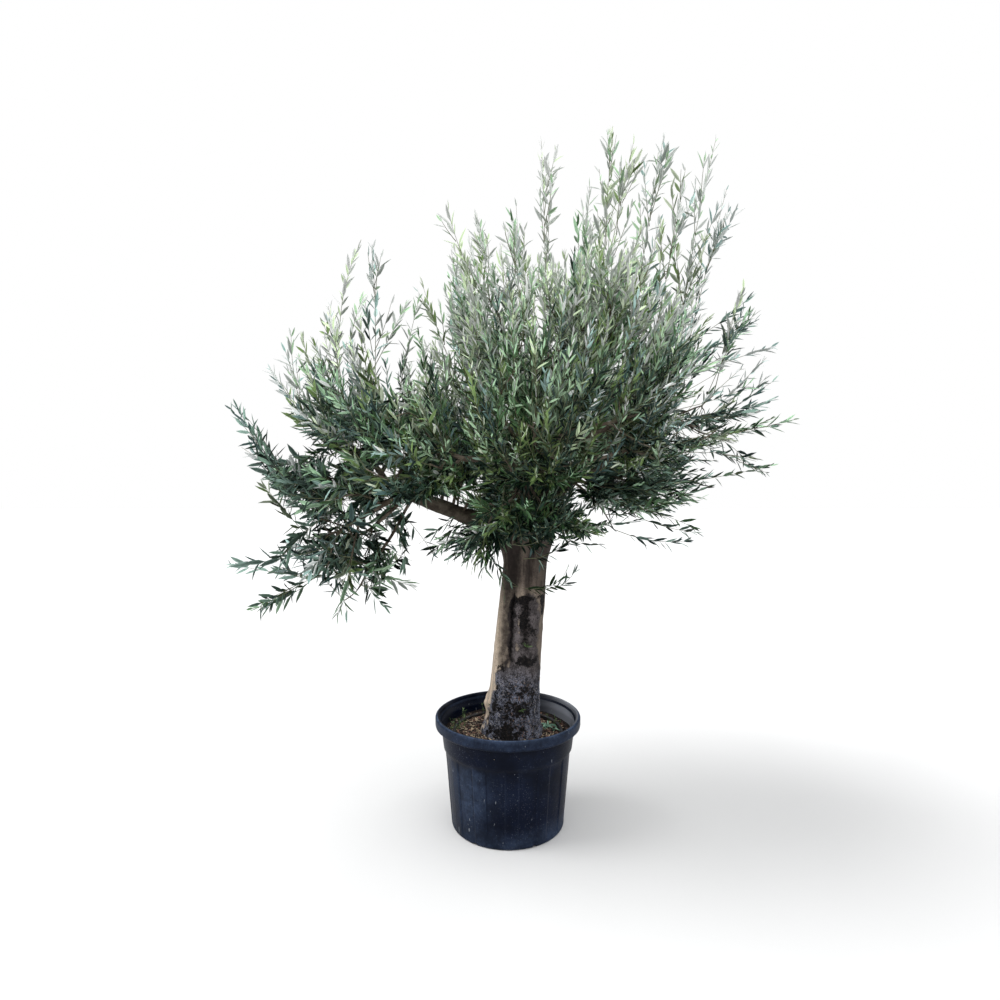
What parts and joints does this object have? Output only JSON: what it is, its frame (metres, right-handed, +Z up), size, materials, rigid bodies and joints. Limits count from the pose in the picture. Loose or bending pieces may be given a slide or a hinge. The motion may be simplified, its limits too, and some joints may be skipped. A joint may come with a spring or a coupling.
{
  "type": "potted olive tree",
  "caption": "Potted olive tree: thick leaning trunk, wide uneven crown of narrow grey-green leaves with upright shoots, in a round nursery pot with pressed panels.",
  "frame": {"origin": "centre of the pot's flat underside, on the floor", "axes": "+Z up; -Y is the front; +X is the side that the trunk leans to"},
  "size_m": [2.3162, 1.5635, 2.8804],
  "materials": {
    "pot_plastic": "satin, dusty",
    "soil": "rough",
    "drip_tube": "satin",
    "bark": "rough, fissured",
    "leaf": "satin above, felted below"
  },
  "bodies": {
    "root": {"bough_front": "bark", "bough_leader": "bark", "bough_left": "bark", "bough_rear": "bark", "bough_right": "bark", "drip_ring": "drip_tube", "foliage_crown": "leaf", "foliage_front": "leaf", "foliage_front_left": "leaf", "foliage_front_low": "leaf", "foliage_front_right": "leaf", "foliage_heart": "leaf", "foliage_left": "leaf", "foliage_left_hang": "leaf", "foliage_left_low": "leaf", "foliage_rear": "leaf", "foliage_rear_left": "leaf", "foliage_rear_low": "leaf", "foliage_rear_right": "leaf", "foliage_right": "leaf", "foliage_right_low": "leaf", "foliage_right_tip": "leaf", "foliage_saddle": "leaf", "foliage_shoulder": "leaf", "foliage_top": "leaf", "foliage_under": "leaf", "pot": "pot_plastic", "root_ball": "soil", "shoot_front_1": "leaf", "shoot_front_2": "leaf", "shoot_left_1": "leaf", "shoot_left_2": "leaf", "shoot_left_3": "leaf", "shoot_left_4": "leaf", "shoot_left_5": "leaf", "shoot_left_6": "leaf", "shoot_left_7": "leaf", "shoot_rear_1": "leaf", "shoot_rear_2": "leaf", "shoot_rear_3": "leaf", "shoot_right_1": "leaf", "shoot_right_2": "leaf", "shoot_right_3": "leaf", "shoot_right_4": "leaf", "shoot_right_5": "leaf", "shoot_right_6": "leaf", "shoot_shoulder_1": "leaf", "shoot_shoulder_2": "leaf", "shoot_shoulder_3": "leaf", "shoot_top_1": "leaf", "shoot_top_2": "leaf", "shoot_top_3": "leaf", "shoot_top_4": "leaf", "shoot_top_5": "leaf", "shoot_top_6": "leaf", "shoot_top_7": "leaf", "shoot_top_8": "leaf", "shoot_top_9": "leaf", "trunk": "bark"}
  },
  "joints": []
}
